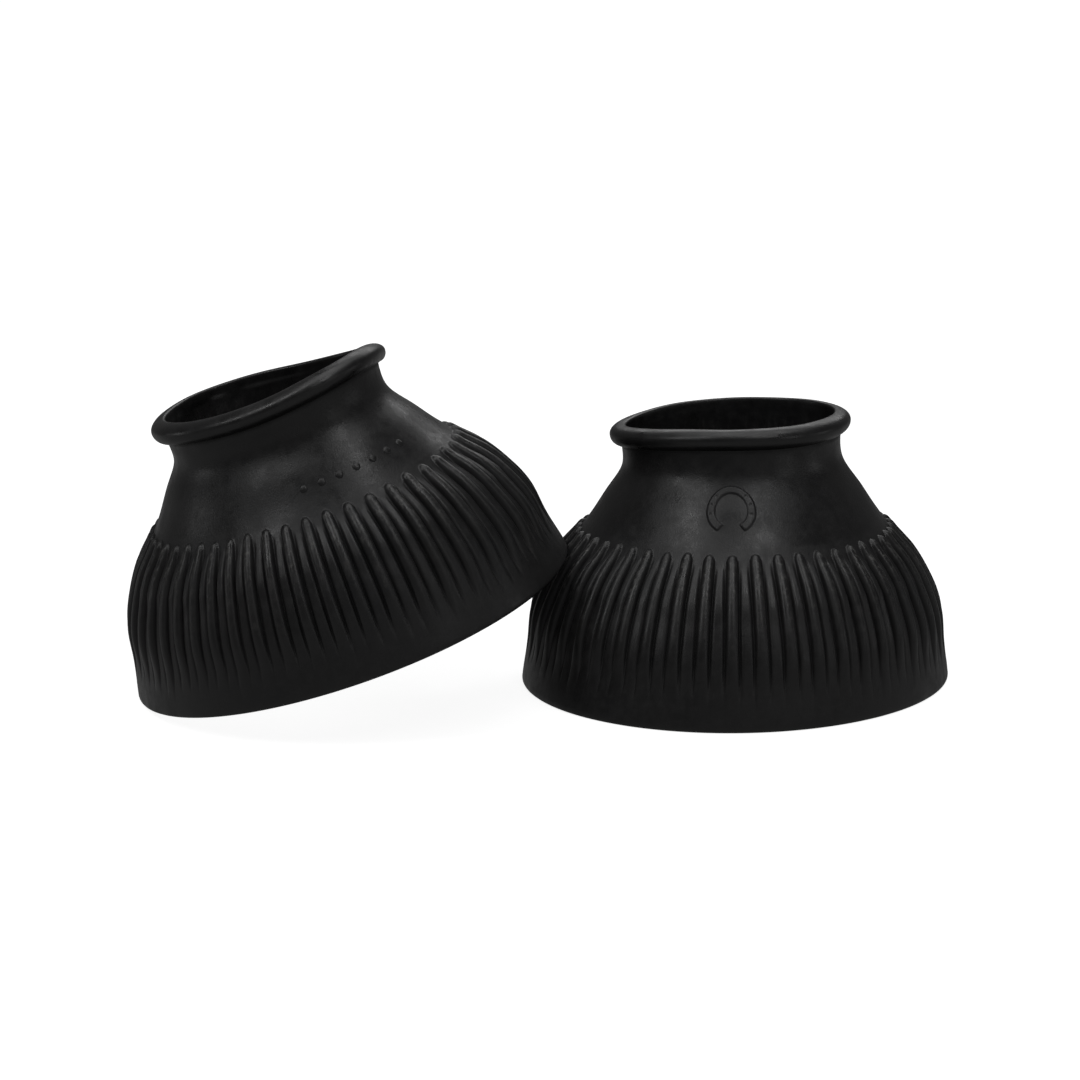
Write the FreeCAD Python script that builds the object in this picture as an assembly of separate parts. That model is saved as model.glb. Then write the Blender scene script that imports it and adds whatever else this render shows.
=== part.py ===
"""A pair of pull-on rubber bell boots for a horse, in millimetres.

One boot stands upright. The other leans on its left flank, so one side of its hem is off the ground.
Each boot is one moulding of solid rubber: a collar bead, a smooth neck and a ribbed bell. It is written
as regions that meet face to face. +Z is up, +X is to the right of someone facing the boots, and the
origin is on the ground under the middle of the pair.
"""
import FreeCAD, Part

import math
import os

# ---- driving dimensions of one moulding ----
HEM_RADIUS = 92.5
SKIN_HEIGHT = 105.2  # from the hem to the centre of the collar bead
WALL = 3.6
BEAD_HALF_HEIGHT = 4.3  # the bead's section is an oval as wide as two walls

# Outer radius of the unbent boot, from the hem (0) to the collar bead (1).
PROFILE = (
    (0.00, HEM_RADIUS),
    (0.06, 91.6),
    (0.16, 89.6),
    (0.28, 87.2),
    (0.40, 82.1),
    (0.50, 75.9),
    (0.58, 68.2),
    (0.66, 61.6),
    (0.75, 55.2),
    (0.85, 47.9),
    (0.93, 46.9),
    (1.00, 48.3),
)

RIB_COUNT = 48
RIB_HEIGHT = 2.3
RIB_WIDTH_AT_TOP = 5.4
RIB_WIDTH_AT_HEM = 6.6
RIBS_FADE_IN = (0.07, 0.30)  # the ribs rise out of the smooth band above the hem
RIBS_END = (0.565, 0.618)  # and end in rounded tips at the foot of the neck
SHOULDER = 0.63  # where the bell meets the neck
NECK_TOP = 0.965  # where the neck runs into the collar bead
REGION_GAP = 0.03  # keeps the bell's upper face just clear of the neck's lower face

# How a soft boot stands out of round. All of it grows towards the collar, except the hem terms.
# A wave is (order, cosine part, sine part). Ribs stand closer where the wall is pushed together: a rib
# spread is (order, degrees, centre), and its angles and the rib phase are counted from the boot's front.
UPRIGHT = {
    "height_gain": 4.0,
    "collar_width": -0.013,
    "collar_depth": -0.174,
    "collar_shift": (-2.2, 5.2),
    "collar_slope": (0.059, -0.016),
    "collar_waves": ((2, 0.0, 0.009), (3, -0.029, -0.002), (4, 0.005, 0.005)),
    "collar_lift": (-0.6, 0.4),
    "hem_width": -0.007,
    "hem_depth": 0.002,
    "hem_twist": 0.044,
    "rib_phase": 3.75,
    "rib_spread": ((2, 1.5, 0.0), (4, 0.6, 0.0)),
}
LEANING = {
    "height_gain": 0.0,
    "collar_width": 0.018,
    "collar_depth": -0.014,
    "collar_shift": (-1.9, -0.5),
    "collar_slope": (0.066, -0.082),
    "collar_waves": ((2, 0.0, -0.004), (3, 0.010, 0.009), (4, -0.004, -0.031)),
    "collar_lift": (2.2, 0.7),
    "hem_width": 0.012,
    "hem_depth": 0.029,
    "hem_twist": 0.022,
    "rib_phase": 4.6,
    "rib_spread": ((2, 3.7, 78.0),),
}

# Where the leaning boot stands, from the upright boot's axis: it leans to the left, tips back and turns.
LEAN_PLACE = (-163.6, -23.4, 30.20)
LEAN_ROLL = 14.4
LEAN_PITCH = 11.4
LEAN_YAW = -28.9

# Raised marks on the necks. Angles are in degrees from the front, to the right.
RELIEF_HEIGHT = 0.9
RELIEF_CLEARANCE = 0.1
HORSESHOE_ANGLE = -4.5
HORSESHOE_LEVEL = 0.755
HORSESHOE_WIDTH = 17.0
HORSESHOE_TALL = 19.0
HORSESHOE_BAR = 3.6
HORSESHOE_HEEL = -62.0  # where the bar starts and ends, in degrees around its own oval
BAR_STATIONS = 24
# Poles of the bar's section, in half widths across and whole heights up.
BAR_SECTION = ((-1, 0), (-1, 0.8), (-0.6, 1), (0, 1), (0.6, 1), (1, 0.8), (1, 0), (0, 0))
PIP_COUNT = 7
PIP_RADIUS = 1.7
PIP_LEVEL = 0.70
PIP_ANGLES = (34.0, 80.0)

# ---- grids of surface poles ----
SMOOTH_POLES = 96
POLES_PER_RIB = 8
BEAD_TURNS = (-55.0, -15.0, 25.0, 65.0, 105.0, 145.0, 185.0)  # poles around the bead's section
BEAD_POLE_REACH = 1.06  # poles stand a little outside the round they pull the surface to
BELL_LEVELS = (0.0, 0.02, 0.05, 0.09, 0.14, 0.20, 0.27, 0.35, 0.43, 0.50, 0.545, 0.575, 0.595, 0.61, SHOULDER)
NECK_SPANS = 17


def smooth_step(low, high, value):
    """0 below low, 1 above high, and a smooth S between them."""
    t = min(max((value - low) / (high - low), 0.0), 1.0)
    return t * t * (3 - 2 * t)


def profile_radius(level):
    """Outer radius at a level: a smooth cubic through the points of PROFILE."""
    points = PROFILE
    last = len(points) - 1
    slopes = []
    for i in range(last + 1):
        before = points[max(i - 1, 0)]
        after = points[min(i + 1, last)]
        slopes.append((after[1] - before[1]) / (after[0] - before[0]))
    i = 0
    while i < last - 1 and level > points[i + 1][0]:
        i += 1
    span = points[i + 1][0] - points[i][0]
    t = (level - points[i][0]) / span
    start = points[i][1] * (1 + 2 * t) * (1 - t) ** 2 + slopes[i] * span * t * (1 - t) ** 2
    end = points[i + 1][1] * (3 - 2 * t) * t**2 - slopes[i + 1] * span * t**2 * (1 - t)
    return start + end


def skin_point(boot, level, angle):
    """A point of the smooth outer skin, in the boot's own frame. Angle is in radians from +X."""
    swell = 1.0
    for order, cosine, sine in boot["collar_waves"]:
        swell += level**3 * (cosine * math.cos(order * angle) + sine * math.sin(order * angle))
    swell += (1 - level) ** 2 * boot["hem_twist"] * math.sin(2 * angle)
    radius = profile_radius(level) * swell
    width = 1 + boot["collar_width"] * level**2 + boot["hem_width"] * (1 - level) ** 2
    depth = 1 + boot["collar_depth"] * level**2 + boot["hem_depth"] * (1 - level) ** 2
    x = radius * math.cos(angle) * width + boot["collar_shift"][0] * level**2
    y = radius * math.sin(angle) * depth + boot["collar_shift"][1] * level**2
    lift = boot["collar_slope"][0] * x + boot["collar_slope"][1] * y
    lift += boot["collar_lift"][0] * math.cos(2 * angle) + boot["collar_lift"][1] * math.cos(3 * angle)
    z = level * (SKIN_HEIGHT + boot["height_gain"]) + level**3 * lift
    return FreeCAD.Vector(x, y, z)


def outward(boot, level, angle):
    """The skin's outward normal. At the hem it is level, so that the hem's edge lies flat."""
    step = 0.002
    around = skin_point(boot, level, angle + step) - skin_point(boot, level, angle - step)
    low = max(level - step, 0.0)
    high = min(level + step, 1.0)
    up = skin_point(boot, high, angle) - skin_point(boot, low, angle)
    normal = around.cross(up)
    normal.z *= smooth_step(0.0, 0.1, level)
    return normal.normalize()


def shell_point(boot, level, angle, out):
    """A point at a distance out of the skin. A negative distance goes into the wall."""
    return skin_point(boot, level, angle) + outward(boot, level, angle) * out


def facing(degrees):
    """The angle from +X, in radians, of a direction counted from the boot's front."""
    return math.radians(degrees - 90)


def rib_angle(boot, turns):
    """Where rib number turns stands, in radians from +X. Fractions lie between two ribs."""
    even = boot["rib_phase"] + turns * 360.0 / RIB_COUNT
    pushed = even
    for order, amount, centre in boot["rib_spread"]:
        pushed += amount * math.sin(math.radians(order * (even - centre)))
    return facing(pushed)


def rib_rise(level, turns):
    """How far the ribs raise the skin: rounded bars with flat lands between them."""
    pitch = 2 * math.pi * profile_radius(level) / RIB_COUNT
    width = RIB_WIDTH_AT_HEM + (RIB_WIDTH_AT_TOP - RIB_WIDTH_AT_HEM) * level / RIBS_END[1]
    across = abs(turns - round(turns)) * pitch / (width / 2)
    crown = max(1 - across**4, 0.0)
    fade = smooth_step(*RIBS_FADE_IN, level) * (1 - smooth_step(*RIBS_END, level))
    return RIB_HEIGHT * crown * fade


def smooth_ring(point_at):
    """A ring of poles for a wall without ribs. point_at takes an angle in radians."""
    return [point_at(2 * math.pi * i / SMOOTH_POLES) for i in range(SMOOTH_POLES)]


def bell_ring(boot, level, out_at):
    """A ring of poles that keeps step with the ribs. out_at takes a rib number."""
    drop = FreeCAD.Vector(0, 0, REGION_GAP if level == SHOULDER else 0)
    ring = []
    for i in range(RIB_COUNT * POLES_PER_RIB):
        turns = i / POLES_PER_RIB
        ring.append(shell_point(boot, level, rib_angle(boot, turns), out_at(turns)) - drop)
    return ring


def ring_surface(rings):
    """A cubic surface that closes around each ring and runs from the first ring to the last."""
    around = len(rings[0])
    degree = min(3, len(rings) - 1)
    spans = len(rings) - degree
    surface = Part.BSplineSurface()
    surface.buildFromPolesMultsKnots(
        [[ring[i] for ring in rings] for i in range(around)],
        [1] * (around + 1),
        [degree + 1] + [1] * (spans - 1) + [degree + 1],
        [float(i) for i in range(around + 1)],
        [float(i) for i in range(spans + 1)],
        True,
        False,
        3,
        degree,
    )
    return surface


def end_wire(surface, end):
    """The closed edge at the start (0) or the end (1) of a surface from ring_surface."""
    limits = surface.bounds()
    return Part.Wire(surface.vIso(limits[2 + end]).toShape())


def solid_from(faces):
    """A closed solid from faces that share their edges."""
    shell = Part.Shell(faces)
    shell.sewShape()
    solid = Part.Solid(shell)
    if solid.Volume < 0:
        solid.reverse()
    return solid


def tube(outer_rings, inner_rings):
    """A hollow ring between an outer and an inner wall, with a ruled face at each end."""
    outer = ring_surface(outer_rings)
    inner = ring_surface(inner_rings)
    top = ring_surface([outer_rings[-1], inner_rings[-1]])
    bottom = ring_surface([outer_rings[0], inner_rings[0]])
    return solid_from([s.toShape() for s in (outer, inner, top, bottom)])


def ribbed_bell(boot):
    """The bell: ribbed outside, smooth inside, with a flat hem face."""
    outer = ring_surface([bell_ring(boot, s, lambda turns: rib_rise(s, turns)) for s in BELL_LEVELS])
    inner = ring_surface([bell_ring(boot, s, lambda turns: -WALL) for s in BELL_LEVELS])
    hem = Part.makeFace([end_wire(outer, 0), end_wire(inner, 0)], "Part::FaceMakerBullseye")
    top_rings = [bell_ring(boot, SHOULDER, lambda turns: 0), bell_ring(boot, SHOULDER, lambda turns: -WALL)]
    shoulder = ring_surface(top_rings)
    return solid_from([outer.toShape(), inner.toShape(), hem, shoulder.toShape()])


def neck(boot):
    """The smooth flared wall from the bell up to the bead."""
    levels = [SHOULDER + (NECK_TOP - SHOULDER) * i / NECK_SPANS for i in range(NECK_SPANS + 1)]
    outer = [smooth_ring(lambda a: skin_point(boot, s, a)) for s in levels]
    inner = [smooth_ring(lambda a: shell_point(boot, s, a, -WALL)) for s in levels]
    return tube(outer, inner)


def collar_bead(boot):
    """The thick rolled edge, from the neck's outer edge round to its inner edge."""

    def beside_the_edge(angle, turn):
        normal = outward(boot, 1.0, angle)
        normal.z = 0
        normal.normalize()
        out = normal * (WALL * BEAD_POLE_REACH * math.cos(turn))
        up = FreeCAD.Vector(0, 0, BEAD_HALF_HEIGHT * BEAD_POLE_REACH * math.sin(turn))
        return skin_point(boot, 1.0, angle) + out + up

    rings = [smooth_ring(lambda a: skin_point(boot, NECK_TOP, a))]
    for turn in BEAD_TURNS:
        rings.append(smooth_ring(lambda a: beside_the_edge(a, math.radians(turn))))
    rings.append(smooth_ring(lambda a: shell_point(boot, NECK_TOP, a, -WALL)))
    roll = ring_surface(rings)
    foot = ring_surface([rings[0], rings[-1]])
    return solid_from([roll.toShape(), foot.toShape()])


def skin_steps(boot, degrees, level):
    """Vectors along the skin: one degree to the right, and one whole level up."""
    angle = facing(degrees)
    right = skin_point(boot, level, facing(degrees + 0.5)) - skin_point(boot, level, facing(degrees - 0.5))
    up = skin_point(boot, level + 0.005, angle) - skin_point(boot, level - 0.005, angle)
    return right, up * 100


def horseshoe_relief(boot):
    """A raised horseshoe: a rounded bar that follows the neck around an oval, open at its foot."""
    right, up = skin_steps(boot, HORSESHOE_ANGLE, HORSESHOE_LEVEL)
    rings = []
    for i in range(BAR_STATIONS + 1):
        turn = math.radians(HORSESHOE_HEEL + (180 - 2 * HORSESHOE_HEEL) * i / BAR_STATIONS)
        degrees = HORSESHOE_ANGLE + HORSESHOE_WIDTH / 2 * math.cos(turn) / right.Length
        level = HORSESHOE_LEVEL + HORSESHOE_TALL / 2 * math.sin(turn) / up.Length
        right_here, up_here = skin_steps(boot, degrees, level)
        side = right_here.normalize() * (HORSESHOE_TALL * math.cos(turn))
        side += up_here.normalize() * (HORSESHOE_WIDTH * math.sin(turn))
        side.normalize()
        ring = []
        for across, rise in BAR_SECTION:
            foot = shell_point(boot, level, facing(degrees), RELIEF_CLEARANCE + RELIEF_HEIGHT * rise)
            ring.append(foot + side * (HORSESHOE_BAR / 2 * across))
        rings.append(ring)
    bar = ring_surface(rings)
    caps = [Part.Face(end_wire(bar, 0)), Part.Face(end_wire(bar, 1))]
    return solid_from([bar.toShape()] + caps)


def size_pips(boot):
    """A row of round domes on the neck."""
    ball = (PIP_RADIUS**2 + RELIEF_HEIGHT**2) / (2 * RELIEF_HEIGHT)
    cut = math.degrees(math.asin((ball - RELIEF_HEIGHT) / ball))
    pips = []
    for i in range(PIP_COUNT):
        angle = facing(PIP_ANGLES[0] + (PIP_ANGLES[1] - PIP_ANGLES[0]) * i / (PIP_COUNT - 1))
        centre = shell_point(boot, PIP_LEVEL, angle, RELIEF_CLEARANCE + RELIEF_HEIGHT - ball)
        pips.append(Part.makeSphere(ball, centre, outward(boot, PIP_LEVEL, angle), cut, 90, 360))
    return Part.makeCompound(pips)


def leaning_placement():
    """Where the leaning boot's own frame stands, from the upright boot's."""
    turn = FreeCAD.Rotation(FreeCAD.Vector(0, 0, 1), LEAN_YAW)
    lean = FreeCAD.Rotation(FreeCAD.Vector(0, -1, 0), LEAN_ROLL)
    tip = FreeCAD.Rotation(FreeCAD.Vector(1, 0, 0), LEAN_PITCH)
    return FreeCAD.Placement(FreeCAD.Vector(*LEAN_PLACE), turn * lean * tip)


def ground_centre(shapes):
    """The middle of the shapes' footprint, at their lowest point."""
    points = [p for shape in shapes for p in shape.tessellate(0.1)[0]]
    low = [min(p[i] for p in points) for i in range(3)]
    high = [max(p[i] for p in points) for i in range(3)]
    return FreeCAD.Vector((low[0] + high[0]) / 2, (low[1] + high[1]) / 2, low[2])


def main():
    os.makedirs("parts", exist_ok=True)
    regions = {"collar_bead": collar_bead, "neck": neck, "ribbed_skirt": ribbed_bell}
    nodes = {}
    for name, region in regions.items():
        nodes["upright_boot_" + name] = region(UPRIGHT)
        nodes["leaning_boot_" + name] = region(LEANING)
    nodes["upright_boot_horseshoe_relief"] = horseshoe_relief(UPRIGHT)
    nodes["leaning_boot_size_pips"] = size_pips(LEANING)
    place = leaning_placement().toMatrix()
    for name in nodes:
        if name.startswith("leaning"):
            nodes[name] = nodes[name].transformGeometry(place)
    origin = ground_centre(nodes.values())
    print("origin from the upright boot's axis:", origin)
    for name, shape in nodes.items():
        shape.translate(origin.negative())
        print(name, "valid" if shape.isValid() else "NOT VALID", round(shape.Volume))
        shape.exportStep("parts/" + name + ".step")


main()
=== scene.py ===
import math

import bmesh
import bpy
import numpy as np
from mathutils import Matrix, Vector


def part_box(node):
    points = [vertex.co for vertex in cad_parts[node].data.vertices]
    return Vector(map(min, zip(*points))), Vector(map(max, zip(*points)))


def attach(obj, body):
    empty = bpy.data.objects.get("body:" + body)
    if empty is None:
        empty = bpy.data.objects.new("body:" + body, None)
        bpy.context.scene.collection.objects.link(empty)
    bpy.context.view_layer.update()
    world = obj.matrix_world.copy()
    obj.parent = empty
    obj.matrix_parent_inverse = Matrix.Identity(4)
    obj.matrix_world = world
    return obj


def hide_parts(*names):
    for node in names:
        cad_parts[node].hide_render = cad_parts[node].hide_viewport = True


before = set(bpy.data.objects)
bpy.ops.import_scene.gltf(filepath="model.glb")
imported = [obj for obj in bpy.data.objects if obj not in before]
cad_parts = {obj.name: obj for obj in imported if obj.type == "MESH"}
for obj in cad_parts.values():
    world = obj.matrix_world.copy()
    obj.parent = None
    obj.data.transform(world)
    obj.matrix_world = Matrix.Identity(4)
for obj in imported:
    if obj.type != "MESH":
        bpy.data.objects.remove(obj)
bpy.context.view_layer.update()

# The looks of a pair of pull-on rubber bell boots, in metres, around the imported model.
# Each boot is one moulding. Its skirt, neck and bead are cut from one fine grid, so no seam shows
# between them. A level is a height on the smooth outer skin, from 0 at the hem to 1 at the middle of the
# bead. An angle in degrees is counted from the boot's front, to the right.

# ---- the moulding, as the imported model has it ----
SKIN_HEIGHT = 0.1052
WALL = 0.0036
PROFILE_LEVELS = np.array([0.00, 0.06, 0.16, 0.28, 0.40, 0.50, 0.58, 0.66, 0.75, 0.85, 0.93, 1.00])
PROFILE_RADII = np.array([92.5, 91.6, 89.6, 87.2, 82.1, 75.9, 68.2, 61.6, 55.2, 47.9, 46.9, 48.3]) / 1000
SHOULDER = 0.63  # where the ribbed skirt meets the neck

UPRIGHT = {
    "height_gain": 0.0040,
    "collar_width": -0.013,
    "collar_depth": -0.174,
    "collar_shift": (-0.0022, 0.0052),
    "collar_slope": (0.059, -0.016),
    "collar_waves": ((2, 0.0, 0.009), (3, -0.029, -0.002), (4, 0.005, 0.005)),
    "collar_lift": (-0.0006, 0.0004),
    "hem_width": -0.007,
    "hem_depth": 0.002,
    "hem_twist": 0.044,
    "rib_phase": 3.75,
    "rib_spread": ((2, 1.5, 0.0), (4, 0.6, 0.0)),
    "seed": 11,
}
LEANING = {
    "height_gain": 0.0000,
    "collar_width": 0.018,
    "collar_depth": -0.014,
    "collar_shift": (-0.0019, -0.0005),
    "collar_slope": (0.066, -0.082),
    "collar_waves": ((2, 0.0, -0.004), (3, 0.010, 0.009), (4, -0.004, -0.031)),
    "collar_lift": (0.0022, 0.0007),
    "hem_width": 0.012,
    "hem_depth": 0.029,
    "hem_twist": 0.022,
    "rib_phase": 4.6,
    "rib_spread": ((2, 3.7, 78.0),),
    "seed": 23,
}

# The leaning boot's place from the upright boot's axis, and how it leans to the left, tips back and turns
LEAN_PLACE = (-0.1636, -0.0234, 0.03020)
LEAN_ROLL = 14.4
LEAN_PITCH = 11.4
LEAN_YAW = -28.9

# ---- ribs: rounded bars with a narrow groove on each side, darkened with painted shade, and low ridged lands between them ----
RIB_COUNT = 48
RIB_HEIGHT = 0.0019
RIB_WIDTH_AT_TOP = 0.0045
RIB_WIDTH_AT_HEM = 0.0057
RIB_ROUNDNESS = (2.8, 0.7)  # the powers of the crown's section
RIB_TIP_LEVEL = 0.611
RIB_TIP_SPAN = 0.028  # levels over which a rib narrows into its rounded tip
RIBS_FADE_IN = (0.06, 0.36)
RIB_HIGHLIGHT_AND_WEAR = (0.34, 0.58)  # levels over which the crowns grow bright with painted highlight and wear
RIB_HIGHLIGHT_CROWN = (0.55, 1.0)  # the painted highlight and wear lie only this high on a rib's crown
UNEVEN_HEIGHT = 0.06  # how much one rib differs from the next: share of its height
UNEVEN_TIP = 0.0035  # levels
UNEVEN_FADE = 0.03  # levels
# how much the painted highlight and wear of one rib differs from the next
UNEVEN_HIGHLIGHT_AND_WEAR = 0.3
GROOVE_DEPTH = 0.0016
GROOVE_OFFSET = 0.0005  # from a rib's foot to the bottom of the groove beside it
GROOVE_WIDTH = 0.00042
GROOVE_FOOT = (0.09, 0.28)
GROOVE_HEAD = (0.10, 0.02)  # levels below a rib's tip
LAND_RIDGE = 0.0007
LAND_RIDGE_LEVELS = (0.39, 0.445, 0.57)  # where a ridge starts, is highest and ends

# ---- bead and hem ----
BEAD_HALF_HEIGHT = 0.0042
BEAD_INNER_ROUND = 0.0009  # the bead is highest at its inner edge, and falls away in one broad round
BEAD_WAVES = (0.020, 0.012)  # shares by which the bead swells four and nine times around
CREASE_LEVEL = 0.957  # the neck ends here, just under the bead
CREASE_SHADE_START = 0.94  # painted shade darkens the skin from here towards the crease under the bead
# how dark the painted shade under the bead grows
CREASE_PAINTED_SHADE = 0.8
INSIDE_PAINTED_LIGHT = 0.15  # painted light lightens the inside wall by this share
# levels over which the painted light on the inside wall dies away under the bead
INSIDE_PAINTED_LIGHT_END = (0.94, 0.99)
WAIST_EASE = 0.0013  # the wall is thinner at the waist, so its inner face runs straight
WAIST_EASE_START = (0.82, 0.92)
WAIST_EASE_END = (0.94, 1.0)
HEM_OUTER_ROUND = 0.0012
HEM_INNER_ROUND = 0.0009

# ---- the unevenness of soft rubber: waves as count around, slant, size and share of the boot's seed ----
WOBBLE = 0.00011
WOBBLE_WAVES = ((3, 7, 1.0, 1.0), (5, -11, 0.8, 2.1), (8, 17, 0.6, 0.7), (13, -23, 0.4, 1.3))
WOBBLE_FOOT = (0.02, 0.25)  # levels over which it starts above the hem
WOBBLE_HEAD = (0.90, 0.95)  # levels over which it dies away outside, under the bead

# ---- grid columns over half a rib and half a land ----
RIB_STOPS = (0.36, 0.62, 0.82, 0.94, 1.04)  # in half widths of the rib
GROOVE_STOPS = (0.0004, 0.0007, 0.0011, 0.0016)  # in metres past the rib's foot

# ---- grid rows ----
SKIRT_FOOT = 0.0115  # just over the hem's round
TIP_BAND = (0.55, 0.62)  # the ribs' tips lie in these levels, which have close rows
INSIDE_SKIRT_ROWS = 22
SKIRT_ROWS = 36
TIP_BAND_ROWS = 26
NECK_ROWS = 24
CREASE_BAND = 0.02  # the levels under the crease that have close rows
CREASE_ROWS = 4
INSIDE_NECK_ROWS = 18
BEAD_FOOT_TURN = 84  # the bead's section starts this far below its outer side, in degrees
BEAD_ROWS = 25

# ---- raised marks ----
RELIEF_HEIGHT = 0.0006
RELIEF_SINK = 0.00006  # a mark's rim lies this far under the skin
RELIEF_ROOT = 0.00030  # and its underside this far
HORSESHOE_ANGLE = -4.5
HORSESHOE_LEVEL = 0.755
HORSESHOE_WIDTH = 0.017
HORSESHOE_TALL = 0.019
HORSESHOE_BAR = 0.0036
HORSESHOE_LENGTH = 0.057  # along the bar, from heel to heel
HORSESHOE_HEEL = -62.0
HORSESHOE_EDGE = 1.25  # the rim of the bar's foot, in half bars
HORSESHOE_SIDE = 0.55  # the bar's side rises over this, in half bars
HORSESHOE_END = 0.5  # and its ends over this
HORSESHOE_GRID = (141, 25)  # points along and across the bar
NAILS = (0.16, 0.25, 0.34, 0.66, 0.75, 0.84)  # in shares of the bar's length
NAIL_SIZE = (0.010, 0.24)  # in shares of the bar's length, and in half bars
NAIL_DEPTH = 0.45  # in shares of the bar's height
PIP_COUNT = 7
PIP_RADIUS = 0.0017
PIP_EDGE = 1.25  # the rim of a pip's foot, in radii
PIP_ROUNDNESS = 2.4
PIP_GRID = 27
PIP_LEVEL = 0.70
PIP_ANGLES = (34.0, 80.0)  # where the first and the last pip stand

# ---- rubber: noise scales are in waves per metre ----
RUBBER_NOISES = {  # name: scale, detail and roughness of the noise, and whether it is drawn out up and down
    "clouds": (28.0, 4.0, 0.55, False),
    "patches": (75.0, 3.0, 0.60, False),
    "wipes": (150.0, 2.0, 0.50, True),
    "mottle": (260.0, 5.0, 0.65, False),
    "streaks": (620.0, 3.0, 0.60, True),
    "specks": (900.0, 2.0, 0.60, False),
    "pores": (1500.0, 2.0, 0.55, False),
    "grit": (3200.0, 2.0, 0.70, False),
}
DRAWN_OUT = (1.0, 1.0, 0.2)
RUBBER_DARK = (0.0090, 0.0090, 0.0098, 1)
RUBBER_LIGHT = (0.0130, 0.0124, 0.0124, 1)
BLOOM_GREY = (0.0230, 0.0225, 0.0225, 1)
BLOOM_SHARE = 0.35
SCUFF_GREY = (0.050, 0.048, 0.046, 1)
SCUFF_SHARE = 0.35
# painted highlight on the rib tips, with their wear, and painted light on the inner wall
HIGHLIGHT_AND_WEAR_GREY = (0.125, 0.122, 0.117, 1)
# painted shade in the grooves beside the ribs and in the crease under the bead
GROOVE_PAINTED_SHADE = (0.0020, 0.0020, 0.0023, 1)
GROOVE_SHADE_SHARE = 0.7
DULL_ROUGHNESS = 0.45
GLOSSY_ROUGHNESS = 0.36
BUMP_SHARES = {"pores": 0.35, "grit": 0.25, "mottle": 0.7}
RUBBED_BUMP = 0.5
BUMP_STRENGTH = 0.32
BUMP_DEPTH = 0.00035
RUBBER_SPECULAR = 0.58
RUBBER_IOR = 1.5

# ---- light: a broad soft sky lamp, and softboxes ----
SKY_LAMP_AZIMUTH = 180.0
SKY_LAMP_ELEVATION = 80.0
SKY_LAMP_SPREAD = 48.0
SKY_LAMP_DISTANCE = 3.0
SKY_LAMP_STRENGTH = 0.6
LAMP_TARGET = (0, 0, 0.07)
SOFTBOXES = (  # name, azimuth, elevation, distance, width, height and power
    ("left_key", -56.0, 52.0, 1.6, 0.12, 0.95, 3.0),
    ("right_key", 30.0, 60.0, 1.6, 0.12, 0.80, 2.3),
    ("right_card", 50.0, 19.0, 1.6, 0.14, 0.70, 0.55),
    ("low_fill", 14.0, 9.0, 2.0, 1.60, 0.40, 0.35),
    ("left_side", -88.0, 9.0, 1.8, 0.50, 0.40, 0.8),
    ("right_side", 88.0, 10.0, 1.8, 0.50, 0.40, 0.5),
    ("back_fill", 172.0, 32.0, 2.0, 1.40, 0.70, 5.0),
)
WORLD_ABOVE = 0.08
WORLD_BELOW = 0.21  # the light a white table throws back up
WORLD_BLEND = -0.20  # how far below the horizon it reaches its full strength, as a sine
FLOOR_HALF = 40.0
FLOOR_DROP = 0.0002  # keeps the floor clear of the hem
FLOOR_COLOUR = (0.55, 0.55, 0.554, 1)
FLOOR_ROUGHNESS = 0.75
FLOOR_SPECULAR = 0.2
FLOOR_GLOW = 0.90  # lifts the floor to an even white

# ---- camera: its place from the middle of the upright boot's hem, and its angles in degrees ----
CAMERA_PLACE = (-0.0923, -1.5850, 0.4321)
CAMERA_TILT = 13.235
CAMERA_TURN = -0.28
CAMERA_ROLL = 0.163
LENS = 126.78
SENSOR = 36.0
CLIP_END = 100.0


# ---------------------------------------------------------------- the skin of a boot

def smooth_step(low, high, value):
    t = np.clip((value - low) / (high - low), 0.0, 1.0)
    return t * t * (3 - 2 * t)


def profile_radius(level):
    """Outer radius of the unbent boot: a smooth cubic through the profile's points."""
    before = np.roll(PROFILE_LEVELS, 1)
    after = np.roll(PROFILE_LEVELS, -1)
    before[0] = PROFILE_LEVELS[0]
    after[-1] = PROFILE_LEVELS[-1]
    radius_before = np.roll(PROFILE_RADII, 1)
    radius_after = np.roll(PROFILE_RADII, -1)
    radius_before[0] = PROFILE_RADII[0]
    radius_after[-1] = PROFILE_RADII[-1]
    slopes = (radius_after - radius_before) / (after - before)
    i = np.clip(np.searchsorted(PROFILE_LEVELS, level, side="left") - 1, 0, len(PROFILE_LEVELS) - 2)
    gap = PROFILE_LEVELS[i + 1] - PROFILE_LEVELS[i]
    t = (level - PROFILE_LEVELS[i]) / gap
    start = PROFILE_RADII[i] * (1 + 2 * t) * (1 - t) ** 2 + slopes[i] * gap * t * (1 - t) ** 2
    end = PROFILE_RADII[i + 1] * (3 - 2 * t) * t**2 - slopes[i + 1] * gap * t**2 * (1 - t)
    return start + end


def skin(boot, level, angle):
    """Points of the smooth outer skin in the boot's own frame. Angle is in radians from +X."""
    swell = 1.0 + (1 - level) ** 2 * boot["hem_twist"] * np.sin(2 * angle)
    for order, cosine, sine in boot["collar_waves"]:
        swell = swell + level**3 * (cosine * np.cos(order * angle) + sine * np.sin(order * angle))
    radius = profile_radius(level) * swell
    width = 1 + boot["collar_width"] * level**2 + boot["hem_width"] * (1 - level) ** 2
    depth = 1 + boot["collar_depth"] * level**2 + boot["hem_depth"] * (1 - level) ** 2
    x = radius * np.cos(angle) * width + boot["collar_shift"][0] * level**2
    y = radius * np.sin(angle) * depth + boot["collar_shift"][1] * level**2
    lift = boot["collar_slope"][0] * x + boot["collar_slope"][1] * y
    lift = lift + boot["collar_lift"][0] * np.cos(2 * angle) + boot["collar_lift"][1] * np.cos(3 * angle)
    z = level * (SKIN_HEIGHT + boot["height_gain"]) + level**3 * lift
    return np.stack([x, y, z], axis=-1)


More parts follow.
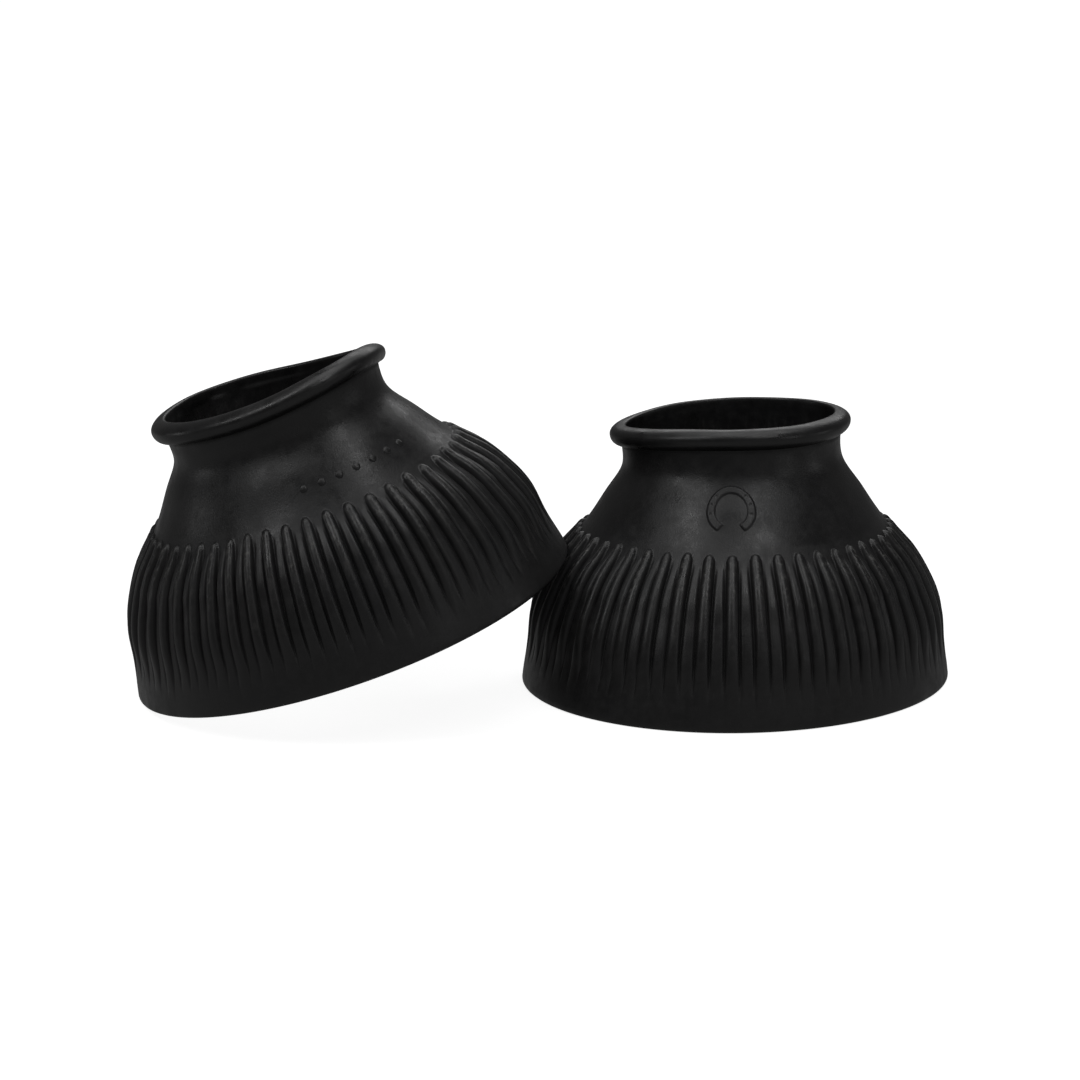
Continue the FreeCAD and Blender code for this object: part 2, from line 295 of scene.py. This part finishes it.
def unit(vectors):
    return vectors / np.linalg.norm(vectors, axis=-1, keepdims=True)


def outward(boot, level, angle):
    """The skin's outward normal, turned level at the hem."""
    step = 0.002
    around = skin(boot, level, angle + step) - skin(boot, level, angle - step)
    low = np.maximum(level - step, 0.0)
    high = np.minimum(level + step, 1.0)
    normal = np.cross(around, skin(boot, high, angle) - skin(boot, low, angle))
    normal[..., 2] *= smooth_step(0.0, 0.1, level)
    return unit(normal)


def shell(boot, level, angle, out):
    """Points at a distance out of the skin."""
    return skin(boot, level, angle) + outward(boot, level, angle) * np.asarray(out)[..., None]


def facing(degrees):
    """The angle from +X, in radians, of a direction counted from the boot's front."""
    return np.radians(degrees - 90)


def rib_angle(boot, turns):
    """Where rib number turns stands, in radians from +X. Fractions lie between two ribs."""
    even = boot["rib_phase"] + turns * 360.0 / RIB_COUNT
    pushed = even
    for order, amount, centre in boot["rib_spread"]:
        pushed = pushed + amount * np.sin(np.radians(order * (even - centre)))
    return facing(pushed)


def rib_half_width(level):
    return (RIB_WIDTH_AT_HEM + (RIB_WIDTH_AT_TOP - RIB_WIDTH_AT_HEM) * level / RIB_TIP_LEVEL) / 2


def rib_pitch(level):
    return 2 * math.pi * profile_radius(level) / RIB_COUNT


def rib_surface(boot, level, turns):
    """How far the ribs stand out of the skin, and the shares of crown, painted groove shade and painted tip
    highlight with wear.
    """
    draw = np.random.RandomState(boot["seed"])
    tall = 1 + UNEVEN_HEIGHT * draw.uniform(-1, 1, RIB_COUNT)
    tip = RIB_TIP_LEVEL + UNEVEN_TIP * draw.uniform(-1, 1, RIB_COUNT)
    fade_low = RIBS_FADE_IN[0] + UNEVEN_FADE * draw.uniform(-1, 1, RIB_COUNT)
    rib_highlight_share = 1 - UNEVEN_HIGHLIGHT_AND_WEAR + UNEVEN_HIGHLIGHT_AND_WEAR * draw.uniform(-1, 1, RIB_COUNT)
    rib = np.round(turns).astype(int) % RIB_COUNT
    half = rib_half_width(level)
    aside = np.abs(turns - np.round(turns)) * rib_pitch(level)
    along = np.clip(1 - (tip[rib] - level) / RIB_TIP_SPAN, 0.0, None)
    reach = np.minimum(np.hypot(aside / half, along), 1.0)
    crown = tall[rib] * (1 - reach ** RIB_ROUNDNESS[0]) ** RIB_ROUNDNESS[1]
    crown = crown * smooth_step(fade_low[rib], RIBS_FADE_IN[1], level)
    # the groove beside each rib; its share also carries the painted shade
    groove = np.exp(-(((aside - half - GROOVE_OFFSET) / GROOVE_WIDTH) ** 2))
    groove = groove * smooth_step(*GROOVE_FOOT, level)
    groove = groove * (1 - smooth_step(tip[rib] - GROOVE_HEAD[0], tip[rib] - GROOVE_HEAD[1], level))
    land = smooth_step(half + GROOVE_OFFSET, half + GROOVE_OFFSET + 2 * GROOVE_WIDTH, aside)
    ridge = LAND_RIDGE * land * np.interp(level, LAND_RIDGE_LEVELS, (0, 1, 0))
    # painted highlight with wear on the upper crowns near the tips
    highlight_and_wear = smooth_step(*RIB_HIGHLIGHT_CROWN, crown) * smooth_step(*RIB_HIGHLIGHT_AND_WEAR, level) * rib_highlight_share[rib]
    return RIB_HEIGHT * crown + ridge - GROOVE_DEPTH * groove, crown, groove, highlight_and_wear


def wobble(boot, level, angle):
    """The slight unevenness of soft rubber. It dies away at the hem's flat edge."""
    waves = 0
    for around, up, size, share in WOBBLE_WAVES:
        waves = waves + size * np.sin(around * angle + up * level + share * boot["seed"])
    return WOBBLE * waves * smooth_step(*WOBBLE_FOOT, level)


# ---------------------------------------------------------------- the grid of a boot

def column_turns(level):
    """Where the grid's columns stand at a level, in rib numbers: close together on the ribs' sides."""
    level = min(level, SHOULDER)
    pitch = rib_pitch(level)
    half = rib_half_width(level)
    stops = [s * half / pitch for s in RIB_STOPS] + [(half + s) / pitch for s in GROOVE_STOPS]
    stops.append((stops[-1] + 0.5) / 2)
    one_rib = [-s for s in reversed(stops)] + [0.0] + stops + [0.5]
    return np.concatenate([np.array(one_rib) + rib for rib in range(RIB_COUNT)])


def spaced(low, high, count):
    return list(np.linspace(low, high, count + 1)[1:])


def section_rows(boot):
    """The rows of the boot's closed section, from the shoulder's inside, down round the hem, up the
    outside, over the bead and back down the inside. A row is (kind, level or turn, out of the skin)."""
    height = SKIN_HEIGHT + boot["height_gain"]
    crease_band = CREASE_LEVEL - CREASE_BAND
    rows = [("inner", level, -WALL) for level in reversed(spaced(0.02, SHOULDER, INSIDE_SKIRT_ROWS))]
    for turn in (90, 60, 30, 0):
        t = math.radians(turn)
        up = HEM_INNER_ROUND * (1 - math.cos(math.pi / 2 - t))
        rows.append(("inner", up / height, -WALL + HEM_INNER_ROUND * (1 - math.sin(t))))
    for turn in (0, 22.5, 45, 67.5, 90):
        t = math.radians(turn)
        out = -HEM_OUTER_ROUND * (1 - math.sin(t))
        rows.append(("hem", HEM_OUTER_ROUND * (1 - math.cos(t)) / height, out))
    rows += [("outer", level, 0.0) for level in spaced(SKIRT_FOOT, TIP_BAND[0], SKIRT_ROWS)]
    rows += [("outer", level, 0.0) for level in spaced(*TIP_BAND, TIP_BAND_ROWS)]
    rows += [("outer", SHOULDER, 0.0)]
    rows += [("outer", level, 0.0) for level in spaced(SHOULDER, crease_band, NECK_ROWS)]
    rows += [("outer", level, 0.0) for level in spaced(crease_band, CREASE_LEVEL, CREASE_ROWS)]
    rows += [("bead", turn, 0.0) for turn in np.linspace(-BEAD_FOOT_TURN, BEAD_FOOT_TURN, BEAD_ROWS)]
    rows += [("bead", turn, 0.0) for turn in (90, 105, 120, 135, 150, 165, 180, 210, 240, 270)]
    rows += [("inner", level, -WALL) for level in (0.985, 0.970, CREASE_LEVEL)]
    inside_neck = spaced(SHOULDER, CREASE_LEVEL, INSIDE_NECK_ROWS)[:-1]
    rows += [("inner", level, -WALL) for level in reversed(inside_neck)]
    return rows


def bead_section(turn):
    """How far out and up of the wall's outer edge the bead's section is. It turns from the bead's foot
    over its outer side (0) and its inner edge (90 to 180), down to the wall's inner face (270)."""
    rise = BEAD_HALF_HEIGHT * math.sin(math.radians(turn))
    if turn <= 0:
        return WALL * math.cos(math.radians(turn)), rise
    inner = WALL - BEAD_INNER_ROUND
    if turn <= 90:
        return (WALL + inner) * math.cos(math.radians(turn)) - inner, rise
    if turn <= 180:
        corner = math.radians(turn - 90)
        drop = BEAD_INNER_ROUND * (1 - math.cos(corner))
        return -inner - BEAD_INNER_ROUND * math.sin(corner), BEAD_HALF_HEIGHT - drop
    return -WALL, (BEAD_HALF_HEIGHT - BEAD_INNER_ROUND) * (270 - turn) / 90


def row_points(boot, row):
    """The points of one row, and each point's shares of crown, painted shade (grooves and crease) and
    painted light with wear.
    """
    kind, where, out = row
    if kind == "bead":
        angle = rib_angle(boot, column_turns(1.0))
        normal = outward(boot, np.float64(1.0), angle)
        normal[:, 2] = 0
        normal = unit(normal)
        size = 1 + BEAD_WAVES[0] * np.sin(4 * angle + boot["seed"]) + BEAD_WAVES[1] * np.sin(9 * angle + 1)
        out, up = bead_section(where)
        lift = np.zeros_like(normal)
        lift[:, 2] = up * size
        points = skin(boot, np.float64(1.0), angle) + normal * (out * size)[:, None] + lift
        plain = np.zeros(len(angle))
        return points, plain, plain, plain
    turns = column_turns(where)
    angle = rib_angle(boot, turns)
    level = np.full(len(turns), where)
    rise = np.full(len(turns), out)
    crown, groove, highlight_and_wear = np.zeros((3, len(turns)))
    if kind == "outer" and where < SHOULDER:
        ribs, crown, groove, highlight_and_wear = rib_surface(boot, level, turns)
        rise = rise + ribs
    uneven = wobble(boot, level, angle)
    if kind == "outer":
        uneven = uneven * (1 - smooth_step(*WOBBLE_HEAD, level))
        # painted shade darkening the neck towards the crease under the bead
        groove = np.maximum(groove, CREASE_PAINTED_SHADE * smooth_step(CREASE_SHADE_START, CREASE_LEVEL, level))
    if kind == "inner":
        ease = smooth_step(*WAIST_EASE_START, level) * (1 - smooth_step(*WAIST_EASE_END, level))
        rise = rise + WAIST_EASE * ease
        # painted light lightening the inner wall
        highlight_and_wear = INSIDE_PAINTED_LIGHT * (1 - smooth_step(*INSIDE_PAINTED_LIGHT_END, level))
    return shell(boot, level, angle, rise + uneven), crown, groove, highlight_and_wear


def grid_slope(points, axis):
    """Unit slopes along one way of a closed grid, true for uneven spacing too."""
    ahead = np.roll(points, -1, axis) - points
    behind = points - np.roll(points, 1, axis)
    long_ahead = np.linalg.norm(ahead, axis=-1, keepdims=True)
    long_behind = np.linalg.norm(behind, axis=-1, keepdims=True)
    return unit(unit(ahead) * long_behind + unit(behind) * long_ahead)


def to_row(points, place):
    """Points carried from a boot's own frame to the row frame."""
    return points @ np.array(place.to_3x3()).T + np.array(place.translation)


def boot_grid(boot, place):
    """The whole boot's closed grid in the row frame: its rows, points, normals and shares."""
    rows = section_rows(boot)
    made = [row_points(boot, row) for row in rows]
    points = to_row(np.stack([m[0] for m in made]), place)
    normals = unit(np.cross(grid_slope(points, 1), grid_slope(points, 0)))
    return {
        "rows": rows,
        "points": points,
        "normals": normals,
        "crown": np.stack([m[1] for m in made]),
        "groove": np.stack([m[2] for m in made]),
        "highlight_and_wear": np.stack([m[3] for m in made]),
    }


# ---------------------------------------------------------------- meshes

def mesh_object(name, points, faces, loop_normals=None, **shares):
    """An object from points, faces of four corners and, where they are given, the corners' normals."""
    mesh = bpy.data.meshes.new(name)
    mesh.vertices.add(len(points))
    mesh.vertices.foreach_set("co", np.ascontiguousarray(points, np.float32).ravel())
    mesh.loops.add(faces.size)
    mesh.loops.foreach_set("vertex_index", faces.ravel().astype(np.int32))
    mesh.polygons.add(len(faces))
    mesh.polygons.foreach_set("loop_start", np.arange(0, faces.size, 4, dtype=np.int32))
    mesh.polygons.foreach_set("use_smooth", np.ones(len(faces), bool))
    mesh.update(calc_edges=True)
    mesh.validate()
    for share, values in shares.items():
        attribute = mesh.attributes.new(share, "FLOAT", "POINT")
        attribute.data.foreach_set("value", np.ascontiguousarray(values, np.float32).ravel())
    if loop_normals is not None:
        mesh.normals_split_custom_set(loop_normals.tolist())
    made = bpy.data.objects.new(name, mesh)
    bpy.context.scene.collection.objects.link(made)
    return made


def strip_faces(first, count, columns):
    """Quads between count rows of columns points that start at vertex first."""
    row = np.arange(count - 1)[:, None] * columns + first
    here = np.arange(columns)[None, :]
    ahead = (here + 1) % columns
    quads = np.stack([row + here, row + ahead, row + columns + ahead, row + columns + here], axis=-1)
    return quads.reshape(-1, 4)


def moulding_piece(name, grid, runs):
    """A closed piece from runs of the boot's rows. Each run's last row is joined to the next run's first."""
    columns = grid["points"].shape[1]
    index = [np.arange(a, b + 1) % len(grid["rows"]) for a, b in runs]
    picked = np.concatenate(index)
    points = grid["points"][picked].reshape(-1, 3)
    normals = grid["normals"][picked].reshape(-1, 3)
    walls = []
    starts = []
    ends = []
    first = 0
    for rows in index:
        walls.append(strip_faces(first * columns, len(rows), columns))
        starts.append(first * columns)
        first += len(rows)
        ends.append((first - 1) * columns)
    wall_faces = np.concatenate(walls)
    wall_normals = normals[wall_faces.ravel()]
    here = np.arange(columns)
    ahead = (here + 1) % columns
    rings = []
    for end, start in zip(ends, starts[1:] + starts[:1]):
        rings.append(np.stack([end + here, end + ahead, start + ahead, start + here], axis=-1))
    ring_faces = np.concatenate(rings)
    corner = points[ring_faces]
    ring_normals = unit(np.cross(corner[:, 2] - corner[:, 0], corner[:, 3] - corner[:, 1]))
    return mesh_object(
        name,
        points,
        np.concatenate([wall_faces, ring_faces]),
        np.concatenate([wall_normals, np.repeat(ring_normals, 4, axis=0)]),
        **{share: grid[share][picked] for share in ("crown", "groove", "highlight_and_wear")},
    )


def row_number(grid, kind, level):
    """The grid's row of a kind at a level."""
    for number, row in enumerate(grid["rows"]):
        if row[0] == kind and abs(row[1] - level) < 1e-6:
            return number
    raise ValueError(f"no {kind} row at level {level}")


# ---------------------------------------------------------------- raised marks

def skin_steps(boot, degrees, level):
    """Vectors along the skin: one degree to the right, and one whole level up."""
    angle = facing(degrees)
    right = skin(boot, level, facing(degrees + 0.5)) - skin(boot, level, facing(degrees - 0.5))
    up = (skin(boot, level + 0.005, angle) - skin(boot, level - 0.005, angle)) * 100
    return right, up


def on_neck(boot, degrees, level, out):
    """Points just over the neck's uneven skin."""
    angle = facing(degrees)
    return shell(boot, level, angle, out + wobble(boot, level, angle))


def horseshoe(boot):
    """The top and foot sheets of a soft raised bar, bent to a horseshoe, with two rows of nail dimples."""
    right, up = skin_steps(boot, np.float64(HORSESHOE_ANGLE), np.float64(HORSESHOE_LEVEL))
    one_degree = np.linalg.norm(right)
    one_level = np.linalg.norm(up)
    stations = np.linspace(0, 1, HORSESHOE_GRID[0])
    turn = np.radians(HORSESHOE_HEEL + (180 - 2 * HORSESHOE_HEEL) * stations)[:, None]
    side = np.linspace(-1, 1, HORSESHOE_GRID[1])[None, :]
    flare = HORSESHOE_BAR / 2 * HORSESHOE_EDGE * side
    ease = np.hypot(HORSESHOE_TALL * np.cos(turn), HORSESHOE_WIDTH * np.sin(turn))
    along_x = HORSESHOE_TALL * np.cos(turn) / ease
    along_y = HORSESHOE_WIDTH * np.sin(turn) / ease
    x = HORSESHOE_WIDTH / 2 * np.cos(turn) + flare * along_x
    y = HORSESHOE_TALL / 2 * np.sin(turn) + flare * along_y
    ends = np.minimum(stations, 1 - stations)[:, None] * HORSESHOE_LENGTH / (HORSESHOE_BAR / 2)
    bar = smooth_step(0.0, HORSESHOE_SIDE, 1 - np.abs(side)) * smooth_step(0.0, HORSESHOE_END, ends)
    dimples = np.zeros_like(bar)
    for nail in NAILS:
        along = (stations[:, None] - nail) / NAIL_SIZE[0]
        dimples += np.exp(-(along**2) - (side / NAIL_SIZE[1]) ** 2)
    rise = RELIEF_HEIGHT * (bar - NAIL_DEPTH * dimples * bar) - RELIEF_SINK
    degrees = HORSESHOE_ANGLE + x / one_degree
    level = HORSESHOE_LEVEL + y / one_level
    return on_neck(boot, degrees, level, rise), on_neck(boot, degrees, level, -RELIEF_ROOT)


def patch_object(name, patches):
    """One object of closed pads. Each is a grid of points over the skin and a like grid below it."""
    points = []
    faces = []
    start = 0
    for top, foot in patches:
        size = top.shape[0] * top.shape[1]
        upper = start + np.arange(size).reshape(top.shape[:2])
        for sheet, order in ((upper, 1), (upper + size, -1)):
            quads = np.stack([sheet[:-1, :-1], sheet[1:, :-1], sheet[1:, 1:], sheet[:-1, 1:]], axis=-1)
            faces.append(quads.reshape(-1, 4)[:, ::order])
        rim = np.concatenate([upper[:-1, 0], upper[-1, :-1], upper[:0:-1, -1], upper[0, :0:-1]])
        after = np.roll(rim, -1)
        faces.append(np.stack([after, rim, rim + size, after + size], axis=-1))
        points += [top.reshape(-1, 3), foot.reshape(-1, 3)]
        start += 2 * size
    made = mesh_object(name, np.concatenate(points), np.concatenate(faces))
    shape = bmesh.new()
    shape.from_mesh(made.data)
    bmesh.ops.recalc_face_normals(shape, faces=shape.faces)
    shape.to_mesh(made.data)
    shape.free()
    return made


def pip(boot, degrees):
    """The top and foot sheets of one round dome: square grids drawn into discs."""
    right, up = skin_steps(boot, np.float64(degrees), np.float64(PIP_LEVEL))
    one_degree = np.linalg.norm(right)
    one_level = np.linalg.norm(up)
    side = np.linspace(-1, 1, PIP_GRID)
    across, along = np.meshgrid(side, side, indexing="ij")
    x = PIP_EDGE * across * np.sqrt(1 - along**2 / 2)
    y = PIP_EDGE * along * np.sqrt(1 - across**2 / 2)
    dome = np.sqrt(1 - np.minimum(np.hypot(x, y), 1) ** PIP_ROUNDNESS)
    rise = RELIEF_HEIGHT * dome - RELIEF_SINK
    degrees = degrees + PIP_RADIUS * x / one_degree
    level = PIP_LEVEL + PIP_RADIUS * y / one_level
    return on_neck(boot, degrees, level, rise), on_neck(boot, degrees, level, -RELIEF_ROOT)


# ---------------------------------------------------------------- materials

def fill(tree, socket, value):
    """Join an output to a socket, or set the socket's own value."""
    if isinstance(value, bpy.types.NodeSocket):
        tree.links.new(value, socket)
    else:
        socket.default_value = value


def add_node(tree, kind, inputs=None, **settings):
    """A shader node with its settings made and its inputs set or joined."""
    made = tree.nodes.new(kind)
    for name, value in settings.items():
        setattr(made, name, value)
    for name, value in (inputs or {}).items():
        fill(tree, made.inputs[name], value)
    return made


def span(tree, value, low, high, to_low=0.0, to_high=1.0):
    """value carried from one span to another and held inside it."""
    return add_node(
        tree,
        "ShaderNodeMapRange",
        {"Value": value, "From Min": low, "From Max": high, "To Min": to_low, "To Max": to_high},
    ).outputs["Result"]


def arithmetic(tree, operation, first, second):
    made = add_node(tree, "ShaderNodeMath", operation=operation)
    for socket, value in zip(made.inputs, (first, second)):
        fill(tree, socket, value)
    return made.outputs[0]


def total(tree, first, second):
    return arithmetic(tree, "ADD", first, second)


def product(tree, first, second):
    return arithmetic(tree, "MULTIPLY", first, second)


def mix_colour(tree, share, first, second):
    made = add_node(tree, "ShaderNodeMix", data_type="RGBA")
    for name, value in (("Factor_Float", share), ("A_Color", first), ("B_Color", second)):
        fill(tree, next(s for s in made.inputs if s.identifier == name), value)
    return next(s for s in made.outputs if s.identifier == "Result_Color")


def rubber_noises(tree):
    """The noises that the rubber's colour, sheen and grain are made of, by name."""
    place = add_node(tree, "ShaderNodeTexCoord").outputs["Object"]
    stretched = add_node(tree, "ShaderNodeMapping", {"Vector": place, "Scale": DRAWN_OUT}).outputs["Vector"]
    made = {}
    for name, (scale, detail, roughness, drawn_out) in RUBBER_NOISES.items():
        inputs = {
            "Vector": stretched if drawn_out else place,
            "Scale": scale,
            "Detail": detail,
            "Roughness": roughness,
        }
        made[name] = add_node(tree, "ShaderNodeTexNoise", inputs).outputs["Fac"]
    return made


def rubber_colour(tree, noises, crown, groove, rub_and_highlight):
    """Uneven black with faint bloom and scuffed crowns, a painted highlight with wear on the rib tips,
    painted light on the inner wall, and painted shade in the grooves and under the bead.
    """
    clouds = span(tree, noises["clouds"], 0.35, 0.7)
    colour = mix_colour(tree, clouds, RUBBER_DARK, RUBBER_LIGHT)
    bloom = span(tree, noises["mottle"], 0.45, 0.75, 0.0, BLOOM_SHARE)
    colour = mix_colour(tree, bloom, colour, BLOOM_GREY)
    scuff = product(tree, span(tree, crown, 0.7, 1.0), span(tree, noises["mottle"], 0.54, 0.66))
    colour = mix_colour(tree, product(tree, scuff, SCUFF_SHARE), colour, SCUFF_GREY)
    # painted highlight with wear on the rib tips, and painted light on the inner wall
    colour = mix_colour(tree, rub_and_highlight, colour, HIGHLIGHT_AND_WEAR_GREY)
    # painted shade in the grooves and under the bead
    return mix_colour(tree, product(tree, groove, GROOVE_SHADE_SHARE), colour, GROOVE_PAINTED_SHADE)


def rubber_roughness(tree, noises, groove, highlight_and_wear, polish):
    """A patchy sheen with wipe marks, dull in the grooves and glossier under the painted tip highlight and
    its wear.
    """
    dull = DULL_ROUGHNESS - polish
    roughness = span(tree, noises["clouds"], 0.3, 0.7, dull, GLOSSY_ROUGHNESS - polish)
    roughness = total(tree, roughness, span(tree, noises["patches"], 0.35, 0.65, -0.03, 0.04))
    roughness = total(tree, roughness, span(tree, noises["mottle"], 0.4, 0.7, -0.03, 0.08))
    roughness = total(tree, roughness, span(tree, noises["wipes"], 0.35, 0.65, -0.04, 0.05))
    roughness = total(tree, roughness, span(tree, groove, 0.0, 1.0, 0.0, 0.35))
    return total(tree, roughness, span(tree, highlight_and_wear, 0.0, 1.0, 0.0, -0.10))


def rubber_grain(tree, noises, rub_and_highlight, grain):
    """The bump of pores, grit and mottle, and of scratches on the rub marks of the tips."""
    height = product(tree, rub_and_highlight, RUBBED_BUMP)
    for name, share in BUMP_SHARES.items():
        height = total(tree, height, product(tree, noises[name], share))
    inputs = {"Height": height, "Strength": BUMP_STRENGTH * grain, "Distance": BUMP_DEPTH}
    return add_node(tree, "ShaderNodeBump", inputs).outputs["Normal"]


def rubber(name, polish=0.0, grain=1.0):
    """Black moulded rubber. Polish lowers its roughness, and grain is the strength of its bump."""
    material = bpy.data.materials.new(name)
    material.use_nodes = True
    tree = material.node_tree
    tree.nodes.clear()
    noises = rubber_noises(tree)
    crown, groove, highlight_and_wear = (
        add_node(tree, "ShaderNodeAttribute", attribute_name=share).outputs["Fac"]
        for share in ("crown", "groove", "highlight_and_wear")
    )
    # streaks of painted highlight with wear, on the tips and the inner wall
    rub_and_highlight = product(tree, highlight_and_wear, span(tree, noises["streaks"], 0.50, 0.64))
    rub_and_highlight = product(tree, rub_and_highlight, span(tree, noises["specks"], 0.40, 0.60, 0.35, 1.0))
    inputs = {
        "Base Color": rubber_colour(tree, noises, crown, groove, rub_and_highlight),
        "Roughness": rubber_roughness(tree, noises, groove, highlight_and_wear, polish),
        "Normal": rubber_grain(tree, noises, rub_and_highlight, grain),
        "Specular IOR Level": RUBBER_SPECULAR,
        "IOR": RUBBER_IOR,
    }
    surface = add_node(tree, "ShaderNodeBsdfPrincipled", inputs)
    add_node(tree, "ShaderNodeOutputMaterial", {"Surface": surface.outputs["BSDF"]})
    return material


def floor_finish():
    material = bpy.data.materials.new("pale_floor")
    material.cycles.emission_sampling = "NONE"
    material.use_nodes = True
    surface = material.node_tree.nodes["Principled BSDF"]
    surface.inputs["Base Color"].default_value = FLOOR_COLOUR
    surface.inputs["Roughness"].default_value = FLOOR_ROUGHNESS
    surface.inputs["Specular IOR Level"].default_value = FLOOR_SPECULAR
    surface.inputs["Emission Color"].default_value = (1, 1, 1, 1)
    surface.inputs["Emission Strength"].default_value = FLOOR_GLOW
    return material


# ---------------------------------------------------------------- the pair

FINISHES = {
    "skirt_rubber": rubber("skirt_rubber"),
    "neck_rubber": rubber("neck_rubber", polish=0.05),
    "bead_rubber": rubber("bead_rubber", polish=0.07, grain=0.8),
    "mark_rubber": rubber("mark_rubber", polish=0.03),
}


def finish_piece(piece, body, node, slot):
    piece.data.materials.append(FINISHES[slot])
    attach(piece, body)
    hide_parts(node)


def build_boot(body, boot, place):
    """The skirt, neck and bead of one boot."""
    grid = boot_grid(boot, place)
    last = len(grid["rows"])
    inner_shoulder = row_number(grid, "inner", SHOULDER)
    outer_shoulder = row_number(grid, "outer", SHOULDER)
    outer_crease = row_number(grid, "outer", CREASE_LEVEL)
    inner_crease = row_number(grid, "inner", CREASE_LEVEL)
    runs = {
        "ribbed_skirt": ("skirt_rubber", [(inner_shoulder, outer_shoulder)]),
        "neck": ("neck_rubber", [(outer_shoulder, outer_crease), (inner_crease, last + inner_shoulder)]),
        "collar_bead": ("bead_rubber", [(outer_crease, inner_crease)]),
    }
    for part, (slot, rows) in runs.items():
        piece = moulding_piece(f"{body}_{part}_rubber", grid, rows)
        finish_piece(piece, body, f"{body}_{part}", slot)


low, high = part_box("upright_boot_ribbed_skirt")
upright_place = Matrix.Translation(((low.x + high.x) / 2, (low.y + high.y) / 2, 0))
leaning_turn = (
    Matrix.Rotation(math.radians(LEAN_YAW), 4, "Z")
    @ Matrix.Rotation(math.radians(LEAN_ROLL), 4, Vector((0, -1, 0)))
    @ Matrix.Rotation(math.radians(LEAN_PITCH), 4, "X")
)
leaning_place = upright_place @ Matrix.Translation(LEAN_PLACE) @ leaning_turn

build_boot("upright_boot", UPRIGHT, upright_place)
build_boot("leaning_boot", LEANING, leaning_place)


shoe = patch_object(
    "upright_boot_horseshoe_mark",
    [[to_row(sheet, upright_place) for sheet in horseshoe(UPRIGHT)]],
)
finish_piece(shoe, "upright_boot", "upright_boot_horseshoe_relief", "mark_rubber")
pip_degrees = np.linspace(PIP_ANGLES[0], PIP_ANGLES[1], PIP_COUNT)
pips = patch_object(
    "leaning_boot_pip_row",
    [[to_row(sheet, leaning_place) for sheet in pip(LEANING, degrees)] for degrees in pip_degrees],
)
finish_piece(pips, "leaning_boot", "leaning_boot_size_pips", "mark_rubber")


# ---------------------------------------------------------------- floor, light and camera

def add_floor():
    half = FLOOR_HALF
    corners = [(-half, -half, 0), (half, -half, 0), (half, half, 0), (-half, half, 0)]
    floor = mesh_object("floor", np.array(corners), np.array([[0, 1, 2, 3]]))
    floor.location.z = -FLOOR_DROP
    floor.data.materials.append(floor_finish())
    floor.visible_diffuse = False
    floor.visible_glossy = False


def lamp_direction(azimuth, elevation):
    """Towards a lamp. Azimuth is in degrees from the front, to the right."""
    turn = facing(azimuth)
    rise = math.radians(elevation)
    return Vector((math.cos(rise) * math.cos(turn), math.cos(rise) * math.sin(turn), math.sin(rise)))


def add_lamp(name, kind, azimuth, elevation, distance):
    light = bpy.data.lights.new(name, kind)
    lamp = bpy.data.objects.new(name, light)
    direction = lamp_direction(azimuth, elevation)
    lamp.location = Vector(LAMP_TARGET) + direction * distance
    lamp.rotation_euler = (-direction).to_track_quat("-Z", "Y").to_euler()
    bpy.context.scene.collection.objects.link(lamp)
    return light


def add_softbox(name, azimuth, elevation, distance, width, height, power):
    light = add_lamp(name, "AREA", azimuth, elevation, distance)
    light.shape = "RECTANGLE"
    light.size = width
    light.size_y = height
    light.energy = power


def add_sky_lamp():
    light = add_lamp("sky_lamp", "SUN", SKY_LAMP_AZIMUTH, SKY_LAMP_ELEVATION, SKY_LAMP_DISTANCE)
    light.angle = math.radians(SKY_LAMP_SPREAD)
    light.energy = SKY_LAMP_STRENGTH


def add_world():
    world = bpy.data.worlds.new("studio")
    world.use_nodes = True
    tree = world.node_tree
    backdrop = tree.nodes["Background"]
    backdrop.inputs["Color"].default_value = (1.0, 1.0, 1.0, 1)
    towards = add_node(tree, "ShaderNodeTexCoord").outputs["Generated"]
    height = add_node(tree, "ShaderNodeSeparateXYZ", {"Vector": towards}).outputs["Z"]
    glow = span(tree, height, WORLD_BLEND, 0.0, WORLD_BELOW, WORLD_ABOVE)
    tree.links.new(glow, backdrop.inputs["Strength"])
    bpy.context.scene.world = world


def add_camera():
    lens = bpy.data.cameras.new("camera")
    lens.lens = LENS
    lens.sensor_width = SENSOR
    lens.clip_end = CLIP_END
    camera = bpy.data.objects.new("camera", lens)
    camera.matrix_world = (
        Matrix.Translation(upright_place @ Vector(CAMERA_PLACE))
        @ Matrix.Rotation(math.radians(CAMERA_TURN), 4, "Z")
        @ Matrix.Rotation(math.radians(90 - CAMERA_TILT), 4, "X")
        @ Matrix.Rotation(math.radians(CAMERA_ROLL), 4, "Z")
    )
    bpy.context.scene.collection.objects.link(camera)
    bpy.context.scene.camera = camera


add_floor()
add_world()
add_sky_lamp()
for softbox in SOFTBOXES:
    add_softbox(*softbox)
add_camera()
bpy.context.scene.view_settings.view_transform = "Standard"
